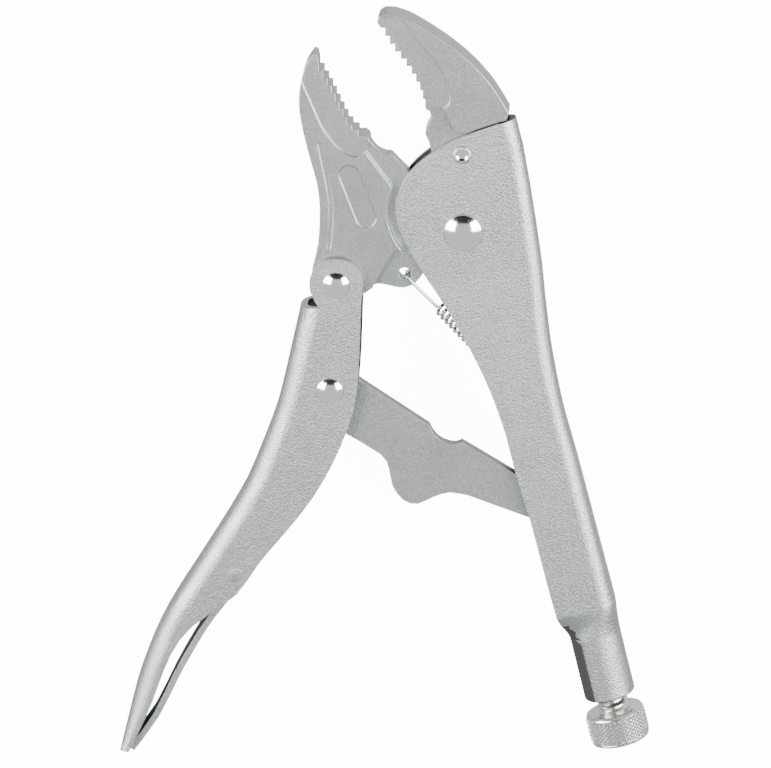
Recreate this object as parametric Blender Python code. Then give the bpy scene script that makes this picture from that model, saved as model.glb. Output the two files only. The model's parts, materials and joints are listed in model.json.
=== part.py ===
"""Locking pliers, ten inch size, lying flat with the jaws open.

The tool's mid plane is parallel to XY. The main pivot's axis is the Z axis, the adjusting
screw runs along -Y, and the jaws point to +Y. Sizes are in millimetres and become metres
where a mesh is made. The world origin is the centre of the main rivet's flat rear face.
"""

import math

import bmesh
import bpy
from mathutils import Matrix, Vector

MM = 0.001

# Sheet, jaws and side clearances
SHEET = 2.2                # wall of both folded handles
GAP = 0.3                  # clearance between pieces that touch
JAW_THICK = 10.8           # forged body of both jaws
TOOTH_THICK = 9.2          # milled band behind the teeth
WEB_THICK = 5.0            # part of both jaws between the upper handle's flanges
STRUT_THICK = 4.0

# Jaw teeth: number on each jaw, and the direction of the fixed jaw's short flanks
TEETH = 10
TOOTH_FLANK = Vector((0.972, -0.235))

# Linkage, measured from the main pivot
LEVER_PIVOT = (-41.6, -7.0)
STRUT_PIVOT = (-51.6, -39.7)
STRUT_NOSE = (9.5, -98.0)
STRUT_NOSE_R = 4.0
JAW_CLOSING = 16.7         # degrees that the lower jaw turns until the teeth nearly meet
NOSE_TRAVEL = 4.9          # room below the strut's nose for the opened linkage
HUB_R = 10.6               # round part of the lower jaw about the main pivot
HUB_TOP_ANGLE = 95.0
GROOVE_HALF = 0.65         # half width of the groove along the lower jaw's back
HUB_TOP = (HUB_R * math.cos(math.radians(HUB_TOP_ANGLE)),
           HUB_R * math.sin(math.radians(HUB_TOP_ANGLE)))
SHOULDER = (-12.0, 21.8)   # corner of the lower jaw that slides under the upper handle

# Overall reach of the pieces
JAW_REACH = 72.2           # main pivot to the fixed jaw's tip
LOWER_JAW_REACH = 65.0     # main pivot to the lower jaw's tip, with the jaws open
UPPER_LENGTH = 158.0       # main pivot to the end of the upper handle
LOWER_LENGTH = 167.0       # lever pivot to the end of the lower handle

# Reaches that the outlines below are drawn for, and the ends that stay and move
DRAWN_JAW = 72.2
DRAWN_LOWER_JAW = 65.0
DRAWN_LOWER = 167.0
JAW_BASE = (-2.0, 38.0)
JAW_TIP = (-7.2, 72.2)
LOWER_JAW_BASE = (-27.0, 36.0)
LOWER_JAW_TIP = (-31.6, 64.6)
LEVER_KNEE = (-95.6, -75.8)
LEVER_TIP = (-144.6, -141.0)

# Upper handle's round tail, screw and knob
SCREW_X = 9.5
SCREW_R = 5.1
TAIL_CLEARANCE = 0.45      # room round the screw inside the rolled tail
TAIL_R = SCREW_R + GAP + SHEET + 0.45
TAIL_LENGTH = 20.0
FORMING_LENGTH = 11.0      # part of the channel that turns into the round tail
SCREW_TIP_R = 3.4
SCREW_TIP_LENGTH = 3.0
EXPOSED_THREAD = 5.2
KNOB_R = 9.6
KNOB_LENGTH = 10.2
KNOB_CHAMFER = 0.9

# Rivets and pins
MAIN_SHANK_R = 3.1
MAIN_HEAD_R = 5.8
MAIN_HEAD_H = 1.9
LINK_SHANK_R = 2.6
LINK_HEAD_R = 4.1
LINK_HEAD_H = 1.4
STAKE = (5.4, 24.0)
STAKE_R = 2.3
STAKE_HEAD_R = 2.8
STAKE_HEAD_H = 0.5
RELEASE_PIVOT = (-94.8, -91.7)
RELEASE_PIN_R = 2.2
RELEASE_GAP = 0.16         # least room between the release lever and the lower handle
ANCHOR_Y = -64.0
ANCHOR_R = 1.3
ANCHOR_FLANGE = 0.9
ANCHOR_LOOP_X = 9.6        # where the spring's loop hangs on the anchor pin
ANCHOR_SEAT_X = 16.8       # outside of the upper handle's back at the anchor pin

# Return spring
SPRING_HOLE = (-20.9, -9.5)
SPRING_HOLE_R = 1.8
SPRING_R = 2.25            # outside of the coils
WIRE_R = 0.55
COIL_START = 15.3          # from the hole's centre to the first turn
COIL_PITCH = 1.85
COIL_SIDES = 8             # points to a turn

# Half width of the upper handle, which widens from the jaws to the tail
TOP_Y = 31.0
FLARE_Y = -15.0
NARROW_HALF = WEB_THICK / 2 + GAP + SHEET
FLARE_END_Y = TAIL_LENGTH - UPPER_LENGTH + FORMING_LENGTH + 1.0
THREAD_Y = STRUT_NOSE[1] - STRUT_NOSE_R - NOSE_TRAVEL - SCREW_TIP_LENGTH
BACK_X = 23.9              # outside of the upper handle's back at the jaws

# Lower handle
LEVER_HALF = JAW_THICK / 2 + GAP + SHEET
EAR_R = 8.3
LEVER_BEND = 6.4           # outside radius of the lower handle's folds
LEVER_STATIONS = 30

# Upper handle's folds: outside and inside radius
BEND_R = 4.6
INNER_BEND = 0.9
BEND_STEPS = 5

ARC_STEP = 15.0            # degrees between points on an arc


# ---------------------------------------------------------------- outlines

def arc(center, radius, start, end, step=ARC_STEP):
    """Points on an arc from start to end, in degrees."""
    count = max(2, int(round(abs(end - start) / step)))
    points = []
    for i in range(count + 1):
        a = math.radians(start + (end - start) * i / count)
        points.append((center[0] + radius * math.cos(a), center[1] + radius * math.sin(a)))
    return points


def smooth(points, steps=3):
    """A smooth open curve through the points (Catmull-Rom), steps to each span."""
    result = []
    last = len(points) - 1
    for i in range(last):
        p0, p1 = points[max(i - 1, 0)], points[i]
        p2, p3 = points[i + 1], points[min(i + 2, last)]
        for k in range(steps):
            t = k / steps
            result.append(tuple(
                0.5 * (2 * b + (c - a) * t + (2 * a - 5 * b + 4 * c - d) * t ** 2
                       + (3 * b - a - 3 * c + d) * t ** 3)
                for a, b, c, d in zip(p0, p1, p2, p3)))
    result.append(tuple(points[-1]))
    return result


def turn(point, center, degrees):
    """The point turned about a centre."""
    a = math.radians(degrees)
    x, y = point[0] - center[0], point[1] - center[1]
    return (center[0] + x * math.cos(a) - y * math.sin(a),
            center[1] + x * math.sin(a) + y * math.cos(a))


def stretch(points, base, tip, length, nominal):
    """Moves points past base along base to tip, so that the reach becomes length."""
    direction = Vector(tip) - Vector(base)
    span = direction.length
    unit = direction / span
    result = []
    for p in points:
        share = min(max((Vector(p) - Vector(base)).dot(unit) / span, 0.0), 1.0)
        moved = Vector(p) + unit * (length - nominal) * share
        result.append((moved.x, moved.y))
    return result


def offset_path(points, distance):
    """An open path moved sideways, to its left for a positive distance."""
    result = []
    for i, p in enumerate(points):
        a = Vector(points[max(i - 1, 0)])
        b = Vector(points[min(i + 1, len(points) - 1)])
        d = (b - a).normalized()
        result.append((p[0] - d.y * distance, p[1] + d.x * distance))
    return result


def evenly(path, count):
    """Points at equal distances along a path."""
    lengths = [0.0]
    for a, b in zip(path, path[1:]):
        lengths.append(lengths[-1] + (Vector(b) - Vector(a)).length)
    points = []
    k = 0
    for i in range(count):
        distance = lengths[-1] * i / (count - 1)
        while k < len(path) - 2 and lengths[k + 1] < distance:
            k += 1
        t = (distance - lengths[k]) / (lengths[k + 1] - lengths[k])
        points.append(Vector(path[k]).lerp(Vector(path[k + 1]), t))
    return points


def blend(table, x):
    """Linear interpolation in a list of (x, y) pairs with falling x."""
    if x >= table[0][0]:
        return table[0][1]
    for (x0, y0), (x1, y1) in zip(table, table[1:]):
        if x >= x1:
            return y0 + (y1 - y0) * (x0 - x) / (x0 - x1)
    return table[-1][1]


# ---------------------------------------------------------------- materials and objects

def material(name, color, roughness):
    mat = bpy.data.materials.new(name)
    mat.use_nodes = True
    shader = mat.node_tree.nodes["Principled BSDF"]
    shader.inputs["Base Color"].default_value = (*color, 1.0)
    shader.inputs["Roughness"].default_value = roughness
    shader.inputs["Metallic"].default_value = 1.0
    return mat


def add_object(name, mesh, mat, origin, parent):
    """Links a mesh whose points are measured from origin (mm), under its parent empty."""
    mesh.materials.append(mat)
    obj = bpy.data.objects.new(name, mesh)
    bpy.context.scene.collection.objects.link(obj)
    obj.parent = parent
    base = parent["origin_mm"]
    obj.location = [(origin[i] - base[i]) * MM for i in range(3)]
    return obj


def pivot_empty(name, origin, parent=None):
    """An empty on a joint's axis; the pieces of a moving group hang under it."""
    empty = bpy.data.objects.new(name, None)
    bpy.context.scene.collection.objects.link(empty)
    empty["origin_mm"] = list(origin)
    if parent is None:
        empty.location = [c * MM for c in origin]
    else:
        empty.parent = parent
        base = parent["origin_mm"]
        empty.location = [(origin[i] - base[i]) * MM for i in range(3)]
    return empty


def finish_mesh(bm, name):
    bmesh.ops.remove_doubles(bm, verts=bm.verts, dist=1e-7)
    bmesh.ops.recalc_face_normals(bm, faces=bm.faces)
    mesh = bpy.data.meshes.new(name)
    bm.to_mesh(mesh)
    bm.free()
    mesh.shade_smooth()
    mesh.set_sharp_from_angle(angle=math.radians(32))
    return mesh


def plate_bmesh(outline, low, high, origin):
    """A flat plate: the outline extruded between two heights."""
    bm = bmesh.new()
    verts = [bm.verts.new(((x - origin[0]) * MM, (y - origin[1]) * MM, (low - origin[2]) * MM))
             for x, y in outline]
    face = bm.faces.new(verts)
    extruded = bmesh.ops.extrude_face_region(bm, geom=[face])
    moved = [v for v in extruded["geom"] if isinstance(v, bmesh.types.BMVert)]
    bmesh.ops.translate(bm, verts=moved, vec=(0, 0, (high - low) * MM))
    return bm


def plate(name, outline, low, high, origin, mat, parent):
    return add_object(name, finish_mesh(plate_bmesh(outline, low, high, origin), name),
                      mat, origin, parent)


def turned_bmesh(profile, sides, axis="Z"):
    """A solid of revolution from (radius, height) pairs, closed at both ends on its axis."""
    bm = bmesh.new()
    rings = []
    for radius, height in profile:
        if radius < 1e-6:
            rings.append([bm.verts.new((0, 0, height * MM))])
            continue
        ring = []
        for i in range(sides):
            a = 2 * math.pi * i / sides
            ring.append(bm.verts.new((radius * math.cos(a) * MM, radius * math.sin(a) * MM,
                                      height * MM)))
        rings.append(ring)
    for lower, upper in zip(rings, rings[1:]):
        for i in range(sides):
            j = (i + 1) % sides
            corners = {lower[i % len(lower)], lower[j % len(lower)],
                       upper[j % len(upper)], upper[i % len(upper)]}
            ordered = [lower[i % len(lower)]]
            for v in (lower[j % len(lower)], upper[j % len(upper)], upper[i % len(upper)]):
                if v not in ordered:
                    ordered.append(v)
            if len(corners) > 2:
                bm.faces.new(ordered)
    if axis == "Y":
        bmesh.ops.rotate(bm, verts=bm.verts, cent=(0, 0, 0),
                         matrix=_quarter_turn("X"))
    if axis == "X":
        bmesh.ops.rotate(bm, verts=bm.verts, cent=(0, 0, 0),
                         matrix=_quarter_turn("Y"))
    return bm


def _quarter_turn(about):
    """Turns +Z to -Y (about X) or +Z to +X (about Y)."""
    return Matrix.Rotation(math.radians(90), 3, about)


def turned(name, profile, origin, mat, parent, sides=24, axis="Z"):
    return add_object(name, finish_mesh(turned_bmesh(profile, sides, axis), name),
                      mat, origin, parent)


def cut(target, cutter, operation="DIFFERENCE"):
    """Takes the cutter away from the target, or joins it on."""
    cutter.hide_render = True
    cutter.display_type = "WIRE"
    mod = target.modifiers.new("cut_" + cutter.name, "BOOLEAN")
    mod.operation = operation
    mod.solver = "EXACT"
    mod.object = cutter


def hole(target, center, radius, low, high, mat, parent, sides=24):
    """Drills a round hole along Z."""
    profile = [(0, low), (radius, low), (radius, high), (0, high)]
    cut(target, turned("hole_%s_%d" % (target.name, len(target.modifiers)), profile,
                       (center[0], center[1], 0), mat, parent, sides))


def rivet(name, center, shank_r, head_r, head_h, front_face, rear_face, mat, parent,
          flat_rear=False):
    """A rivet along Z: domed front head, and a domed or flat rear head."""
    base = head_h * 0.3
    dome = [(head_r * math.cos(math.radians(a)), base + (head_h - base) * math.sin(math.radians(a)))
            for a in (0, 25, 50, 70)]
    front = [(head_r * 0.97, 0)] + dome + [(0, head_h)]
    low = rear_face - GAP
    high = front_face + GAP
    if flat_rear:
        rear = [(0, low - head_h), (head_r * 0.82, low - head_h), (head_r, low - head_h * 0.6),
                (head_r, low)]
    else:
        rear = [(r, low - h) for r, h in reversed(front)]
    profile = rear + [(shank_r, low), (shank_r, high)] + [(r, high + h) for r, h in front]
    return turned(name, profile, (center[0], center[1], 0), mat, parent, 28)


# ---------------------------------------------------------------- jaws

def teeth(path, count, flank):
    """Square saw teeth: the tips lie evenly on a smooth path, one flank runs along flank."""
    tips = evenly(smooth(path, 8), count + 1)
    points = [tuple(tips[0])]
    for a, b in zip(tips, tips[1:]):
        valley = a + flank * (b - a).dot(flank)
        points += [tuple(valley), tuple(b)]
    return points


def handle_front_edge():
    """The upper handle's flange edge on the grip side, from the jaw end to the neck."""
    lobe = [(18.3, TOP_Y), (8.0, 29.7), (-3.1, 26.7), (-12.0, 21.8), (-17.2, 15.2), (-18.9, 8.6),
            (-18.3, 1.5), (-15.6, -8.5), (-10.9, -22.0), (-6.6, -37.0), (-3.6, -52.0),
            (-2.2, -66.0)]
    return smooth(lobe, 3)


def fixed_jaw_outline():
    back = [(-7.2, 72.2), (-4.2, 71.3), (0.2, 68.4), (6.3, 62.4), (11.4, 56.4), (15.2, 51.0),
            (18.6, 44.7), (20.8, 38.9), (22.4, 33.6)]
    grip = [(-9.5, 68.2), (-7.6, 61.4), (-4.2, 53.5), (-2.5, 46.5), (-2.2, 40.8)]
    upper = teeth(grip, TEETH, TOOTH_FLANK)
    outline = [(-10.2, 70.2), (-9.2, 71.8)] + smooth(back, 2)
    reach = stretch(outline, JAW_BASE, JAW_TIP, JAW_REACH, DRAWN_JAW)
    reach_teeth = stretch(upper, JAW_BASE, JAW_TIP, JAW_REACH, DRAWN_JAW)
    root_x = BACK_X - SHEET - 3 * GAP
    closed_hub = turn(HUB_TOP, (0, 0), -JAW_CLOSING)
    closed_shoulder = turn(SHOULDER, (0, 0), -JAW_CLOSING)
    low = HUB_R + 2.2
    t = (low - closed_hub[1]) / (closed_shoulder[1] - closed_hub[1])
    corner = closed_hub[0] + (closed_shoulder[0] - closed_hub[0]) * t + 3 * GAP
    root = [(root_x, 31.2), (root_x, 16.0), (root_x - 3.0, low), (corner, low),
            (closed_shoulder[0] + 2 * GAP, closed_shoulder[1] + GAP), (-3.7, 26.4)]
    neck = smooth([(-3.9, 30.0), (-4.3, 32.6), (-3.0, 35.0), (-1.6, 36.6), (-1.3, 38.6)], 2)
    return reach + root + neck + list(reversed(reach_teeth))


def fixed_jaw(mats, parent):
    """Forged jaw held between the upper handle's flanges."""
    half = JAW_THICK / 2
    jaw = plate("fixed_jaw", fixed_jaw_outline(), -half, half, (0, 0, 0), mats["jaw"], parent)
    flange = [(x, y + GAP * 2) for x, y in handle_front_edge() if y > 8.0]
    step = [(40.0, TOP_Y + GAP * 2), (18.3, TOP_Y + GAP * 2)]
    step += [p for p in flange if p[0] > 5.6][1:]
    web = step + [(5.0, 31.0), (3.1, 39.9), (-20.0, 39.9), (-20.0, 0.0), (40.0, 0.0)]
    band = smooth([(-9.4, 72.0), (-4.4, 70.4), (-1.8, 68.2), (0.4, 62.1), (2.9, 57.3), (5.1, 52.3),
                   (6.0, 47.6), (6.1, 43.0), (5.2, 40.4), (2.8, 39.4)], 2)
    band = stretch(band, JAW_BASE, JAW_TIP, JAW_REACH, DRAWN_JAW)
    band += [(-20.0, 39.4), (-30.0, JAW_REACH + 4.0), (-9.4, JAW_REACH + 4.0)]
    for sign in (1, -1):
        for label, zone, level in (("web", web, WEB_THICK / 2), ("band", band, TOOTH_THICK / 2)):
            low, high = sorted((sign * level, sign * (half + 1.0)))
            cut(jaw, plate("zone_%s_%d" % (label, sign), zone, low, high, (0, 0, 0),
                           mats["jaw"], parent))
    hole(jaw, STAKE, STAKE_R + GAP, -half - 1, half + 1, mats["jaw"], parent)
    return jaw


def lower_jaw_outline():
    left = [(-31.6, 64.6), (-34.4, 62.0), (-37.6, 56.4), (-39.6, 49.6), (-40.2, 42.0),
            (-40.2, 33.0), (-40.0, 25.0), (-41.2, 16.5), (-44.2, 6.5), (-47.8, -1.0)]
    grip = [(-30.4, 61.8), (-28.6, 55.6), (-27.0, 48.0), (-25.2, 41.2), (-22.0, 36.4)]
    ends = (LOWER_JAW_BASE, LOWER_JAW_TIP, LOWER_JAW_REACH, DRAWN_LOWER_JAW)
    outer = stretch(smooth(left, 2), *ends)
    inner = stretch(teeth(grip, TEETH, -TOOTH_FLANK.orthogonal()), *ends)
    ear = arc(LEVER_PIVOT, EAR_R, 205, 318)
    lug = smooth([(-33.6, -12.2), (-30.2, -10.9), (-26.6, -12.2), (-22.4, -14.0), (-18.4, -13.3),
                  (-15.4, -10.9)], 2)
    hub = arc((0, 0), HUB_R, 225, 345) + arc((0, 0), HUB_R, 360, 360 + HUB_TOP_ANGLE)
    shoulder = [SHOULDER, (-15.9, 28.5)]
    heel = smooth([(-17.4, 28.9), (-19.4, 30.4), (-20.9, 33.2), (-21.2, 35.4)], 2)
    tip_round = stretch([(-31.0, 64.9), (-30.3, 64.0)], *ends)
    return (list(outer) + ear + lug + hub + shoulder + heel
            + list(reversed(inner)) + list(reversed(tip_round)))


def lower_jaw(mats, parent):
    """Forged moving jaw: thick body, thin web at the main pivot, and the spring's lug."""
    half = JAW_THICK / 2
    jaw = plate("lower_jaw", lower_jaw_outline(), -half, half, (0, 0, 0), mats["jaw"], parent)
    swept = [turn(p, (0, 0), JAW_CLOSING) for p in handle_front_edge() if -6.0 < p[1] < 24.0]
    swept = offset_path(swept, -2 * GAP)
    swept = [p for p in swept if p[1] > -3.0 and p[0] < -17.8]
    web = ([(-19.6, 36.0), (-21.6, 33.4), (-23.2, 31.2), (-18.2, 19.4)] + swept
           + [(-20.9, -1.1), (-22.2, -1.2), (-30.1, -9.7), (-35.2, -16.0), (-20.0, -30.0),
              (20.0, -30.0), (20.0, 36.0)])
    band = smooth([(-37.2, 60.0), (-36.3, 53.9), (-35.4, 48.6), (-34.3, 42.2), (-32.3, 37.0),
                   (-29.7, 32.8), (-26.4, 30.5), (-23.5, 31.2), (-20.5, 33.2)], 2)
    band = stretch(band, LOWER_JAW_BASE, LOWER_JAW_TIP, LOWER_JAW_REACH, DRAWN_LOWER_JAW)
    band += [(-10.0, 36.0), (-20.0, LOWER_JAW_REACH + 4.0), (-38.0, LOWER_JAW_REACH + 4.0)]
    centre = smooth([(-36.2, 37.0), (-36.6, 27.0), (-37.3, 18.0), (-39.6, 9.4), (-41.2, 4.6)], 3)
    left_side = offset_path(centre, GROOVE_HALF)
    right_side = offset_path(centre, -GROOVE_HALF)
    groove = ([(centre[0][0], centre[0][1] + GROOVE_HALF)] + left_side
              + [(centre[-1][0] - 0.2, centre[-1][1] - GROOVE_HALF)] + list(reversed(right_side)))
    oval = arc((-27.9, 11.1), 3.1, 187, 367) + arc((-29.7, 25.4), 3.1, 7, 187)
    for sign in (1, -1):
        zones = (("web", web, WEB_THICK / 2), ("band", band, TOOTH_THICK / 2),
                 ("groove", groove, half - 0.5), ("oval", oval, half - 0.3))
        for label, zone, level in zones:
            low, high = sorted((sign * level, sign * (half + 1.0)))
            cut(jaw, plate("zone_lower_%s_%d" % (label, sign), zone, low, high, (0, 0, 0),
                           mats["jaw"], parent))
    hole(jaw, (0, 0), MAIN_SHANK_R + GAP, -half - 1, half + 1, mats["jaw"], parent)
    hole(jaw, LEVER_PIVOT, LINK_SHANK_R + GAP, -half - 1, half + 1, mats["jaw"], parent)
    hole(jaw, SPRING_HOLE, SPRING_HOLE_R, -half - 1, half + 1, mats["jaw"], parent, 16)
    return jaw


# ---------------------------------------------------------------- handles

def fold(depth, half, radius):
    """Points round one folded corner, as (distance from the front, height)."""
    points = []
    for i in range(BEND_STEPS + 1):
        a = math.radians(90 * i / BEND_STEPS)
        points.append((depth - radius + radius * math.sin(a),
                       half - radius + radius * math.cos(a)))
    return points


def channel_section(front, back, half, wall, bend, inner_bend):
    """A C section: pairs (distance along front to back, height), outside path then inside."""
    depth = back - front
    def half_path(d, h, radius):
        flange_end = d - radius
        straight = [(flange_end * i / 4, h) for i in range(4)]
        return straight + fold(d, h, radius) + [(d, 0.0)]

    outside = half_path(depth, half, bend)
    inside = half_path(depth - wall, half - wall, inner_bend)
    outside += [(x, -h) for x, h in reversed(outside[:-1])]
    inside += [(x, -h) for x, h in reversed(inside[:-1])]
    return outside, inside


def tube_section(center, radius, wall, count, seam):
    """The same number of points round a rolled tube with a narrow seam at its front."""
    outside, inside = [], []
    for i in range(count):
        a = math.radians(180 - seam - (360 - 2 * seam) * i / (count - 1))
        outside.append((center + radius * math.cos(a), radius * math.sin(a)))
        inside.append((center + (radius - wall) * math.cos(a), (radius - wall) * math.sin(a)))
    return outside, inside


def loft(name, sections, mat, origin, parent):
    """Joins closed sections, each a list of (x, y, z), and caps both ends."""
    bm = bmesh.new()
    rings = [[bm.verts.new([(p[i] - origin[i]) * MM for i in range(3)]) for p in section]
             for section in sections]
    count = len(rings[0])
    for a, b in zip(rings, rings[1:]):
        for i in range(count):
            j = (i + 1) % count
            bm.faces.new((a[i], a[j], b[j], b[i]))
    for ring in (rings[0], rings[-1]):
        half = count // 2
        for i in range(half - 1):
            bm.faces.new((ring[i], ring[i + 1], ring[count - 2 - i], ring[count - 1 - i]))
    return add_object(name, finish_mesh(bm, name), mat, origin, parent)


def half_width(y):
    """Half the upper handle's outside width, never too narrow for the screw's thread."""
    flare = [(FLARE_Y, NARROW_HALF), (FLARE_END_Y, TAIL_R)]
    at_thread = max(blend(flare, THREAD_Y), SCREW_R + GAP + SHEET)
    return blend([flare[0], (THREAD_Y, at_thread), flare[1]], y)


def upper_handle(mats, parent):
    """Folded channel whose end is rolled into the threaded tail."""
    end = -UPPER_LENGTH
    neck = end + TAIL_LENGTH
    back = [(TOP_Y, BACK_X - 0.1), (22.0, BACK_X), (10.0, 23.2), (-3.0, 22.2), (-16.0, 21.0),
            (-28.0, 19.3), (-41.0, 17.8), (-54.0, 17.0), (-64.0, 16.8), (-80.0, 17.4), (FLARE_END_Y, 18.1)]
    edge = handle_front_edge()
    lowest = edge[-1][1]
    for x, share in ((-2.1, 0.2), (-1.2, 0.45), (-0.7, 0.9)):
        edge.append((x, lowest + (FLARE_END_Y - lowest) * share))
    stations = []
    for x, y in edge:
        section = channel_section(x, blend(back, y), half_width(y), SHEET, BEND_R, INNER_BEND)
        stations.append((y, section, x))
    count = len(stations[0][1][0])
    channel_end = channel_section(-0.4, 18.1, TAIL_R, SHEET, BEND_R, INNER_BEND)
    wall = TAIL_R - SCREW_R - TAIL_CLEARANCE
    tube = tube_section(SCREW_X + 0.4, TAIL_R, wall, count, 4.0)
    form_start = neck + FORMING_LENGTH
    for i in range(9):
        t = i / 8
        ease = t * t * (3 - 2 * t)
        y = form_start + (neck - form_start) * t
        mixed = []
        for flat, round_ in zip(channel_end, tube):
            mixed.append([(a[0] * (1 - ease) + b[0] * ease, a[1] * (1 - ease) + b[1] * ease)
                          for a, b in zip(flat, round_)])
        stations.append((y, mixed, -0.4))
    for y in (neck - 4.5, end + 0.5):
        stations.append((y, tube, -0.4))
    lip = tube_section(SCREW_X + 0.4, TAIL_R - 0.4, wall - 0.7, count, 4.0)
    stations.append((end, lip, -0.4))
    sections = []
    for y, (outside, inside), front in stations:
        ring = [(front + d, y, h) for d, h in outside]
        ring += [(front + d, y, h) for d, h in reversed(inside)]
        sections.append(ring)
    handle = loft("upper_handle", sections, mats["handle"], (0, 0, 0), parent)
    reach = TAIL_R + 2
    hole(handle, (0, 0), MAIN_SHANK_R + GAP, -reach, reach, mats["handle"], parent)
    hole(handle, STAKE, STAKE_R + GAP, -reach, reach, mats["handle"], parent)
    socket = turned("anchor_socket", [(0, 0), (ANCHOR_R + GAP, 0), (ANCHOR_R + GAP, 12), (0, 12)],
                    (12.0, ANCHOR_Y, 0), mats["handle"], parent, 16, "X")
    cut(handle, socket)
    passage = SCREW_R + GAP
    length = THREAD_Y - end + 1.0
    cut(handle, turned("screw_passage", [(0, 0), (passage, 0), (passage, length), (0, length)],
                       (SCREW_X, THREAD_Y, 0), mats["handle"], parent, 28, "Y"))
    return handle


def lower_handle_edges():
    """Outer and inner edge of the lower handle from the lever pivot to the tail."""
    outer = [(-54.6, -12.4), (-61.5, -26.5), (-69.0, -41.4), (-76.7, -53.1), (-85.1, -64.7),
             (-95.6, -75.8), (-106.7, -86.9), (-117.8, -98.0), (-127.0, -109.6),
             (-134.6, -121.6), (-141.0, -134.0), (-144.6, -141.0)]
    inner = [(-35.6, -14.6), (-38.2, -24.0), (-41.4, -35.2), (-45.6, -47.0), (-53.0, -58.6),
             (-62.6, -70.2), (-74.6, -80.6), (-86.0, -89.2), (-95.4, -98.0), (-106.5, -102.9),
             (-114.8, -107.2), (-122.4, -115.0), (-130.2, -127.0), (-138.8, -138.2),
             (-141.8, -141.8)]
    outer = stretch(outer, LEVER_KNEE, LEVER_TIP, LOWER_LENGTH, DRAWN_LOWER)
    inner = stretch(inner, LEVER_KNEE, LEVER_TIP, LOWER_LENGTH, DRAWN_LOWER)
    return smooth(outer, 2), smooth(inner, 2)


def folded_section(front, back, half, bend, past_front=0.0):
    """A closed section with two rounded back corners, as (x, y, z)."""
    depth = (back - front).length
    unit = (back - front) / depth
    radius = min(bend, depth * 0.8, half - 0.4)
    side = [(-past_front, half)] + fold(depth, half, radius)
    ring = side + [(d, -h) for d, h in reversed(side)]
    return [(front.x + unit.x * d, front.y + unit.y * d, h) for d, h in ring]


def lever_stations():
    """Matching points down the inner and the outer edge of the lower handle."""
    outer, inner = lower_handle_edges()
    return evenly(inner, LEVER_STATIONS), evenly(outer, LEVER_STATIONS)


def lever_room(margin, past_front=12.0):
    """Sections of the space inside the lower handle, kept margin away from its walls."""
    fronts, backs = lever_stations()
    wall = SHEET + margin
    sections = []
    for f, b in zip(fronts, backs):
        unit = (b - f).normalized()
        sections.append(folded_section(f, b - unit * wall, LEVER_HALF - wall, LEVER_BEND - SHEET,
                                       past_front))
    past = (backs[-1] - backs[-2]).normalized() * 6.0
    unit = (backs[-1] - fronts[-1]).normalized()
    sections.append(folded_section(fronts[-1] + past, backs[-1] - unit * wall + past,
                                   LEVER_HALF - wall, LEVER_BEND - SHEET, past_front))
    return sections


def lower_handle(mats, parent):
    """Folded channel: two flanges with round ears and a back that starts below the ears."""
    origin = (*LEVER_PIVOT, 0)
    fronts, backs = lever_stations()
    handle = loft("lower_handle",
                  [folded_section(f, b, LEVER_HALF, LEVER_BEND) for f, b in zip(fronts, backs)],
                  mats["handle"], origin, parent)
    first = fronts[0]
    ear = arc(LEVER_PIVOT, EAR_R, -25, 200)
    ear += [(first.x - 13.0, first.y + 1.2), (first.x - 9.0, first.y - 6.0),
            (first.x - 4.0, first.y - 6.0), (first.x, first.y)]
    ears = plate("lever_ears", ear, -LEVER_HALF, LEVER_HALF, origin, mats["handle"], parent)
    cut(handle, ears, "UNION")
    top = folded_section(Vector((-35.0, 10.0)), Vector((-62.0, 10.0)), LEVER_HALF - SHEET,
                         LEVER_BEND - SHEET, 15.0)
    cut(handle, loft("lever_room", [top] + lever_room(0.0), mats["handle"], origin, parent))
    high = LEVER_HALF + 1
    for center, radius in ((LEVER_PIVOT, LINK_SHANK_R), (STRUT_PIVOT, LINK_SHANK_R),
                           (RELEASE_PIVOT, RELEASE_PIN_R)):
        hole(handle, center, radius + GAP, -high, high, mats["handle"], parent)
    return handle


# ---------------------------------------------------------------- links, pins and spring

def toggle_strut(mats, parent):
    """Flat link from the lower handle to the screw's tip, with a lobe for the release lever."""
    heel = arc(STRUT_PIVOT, 6.4, 50, 190)
    lobe = smooth([(-52.0, -55.1), (-42.0, -65.1), (-40.6, -70.0), (-40.8, -76.0), (-38.6, -81.2),
                   (-34.5, -83.4), (-29.0, -82.2), (-24.0, -81.9), (-18.6, -84.1)], 2)
    nose = arc(STRUT_NOSE, STRUT_NOSE_R, 236, 405)
    notch = smooth([(-16.4, -66.6), (-18.6, -66.9), (-21.8, -65.4), (-24.2, -62.4),
                    (-25.0, -59.2)], 2)
    outline = heel + [(-57.6, -46.0)] + lobe + nose + notch
    strut = plate("toggle_strut", outline, -STRUT_THICK / 2, STRUT_THICK / 2, (*STRUT_PIVOT, 0),
                  mats["link"], parent)
    hole(strut, STRUT_PIVOT, LINK_SHANK_R + GAP, -STRUT_THICK, STRUT_THICK, mats["link"], parent)
    return strut


def strut_spacers(mats, parent):
    """Two rings that keep the strut in the middle of the lower handle."""
    inner = LEVER_HALF - SHEET - GAP
    for name, sign in (("strut_spacer_front", 1), ("strut_spacer_rear", -1)):
        low, high = sorted((sign * (STRUT_THICK / 2 + GAP), sign * inner))
        ring = turned(name, [(0, low), (4.6, low), (4.6, high), (0, high)],
                      (*STRUT_PIVOT, 0), mats["rivet"], parent, 20)
        hole(ring, STRUT_PIVOT, LINK_SHANK_R + GAP, low - 1, high + 1, mats["rivet"], parent)


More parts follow.
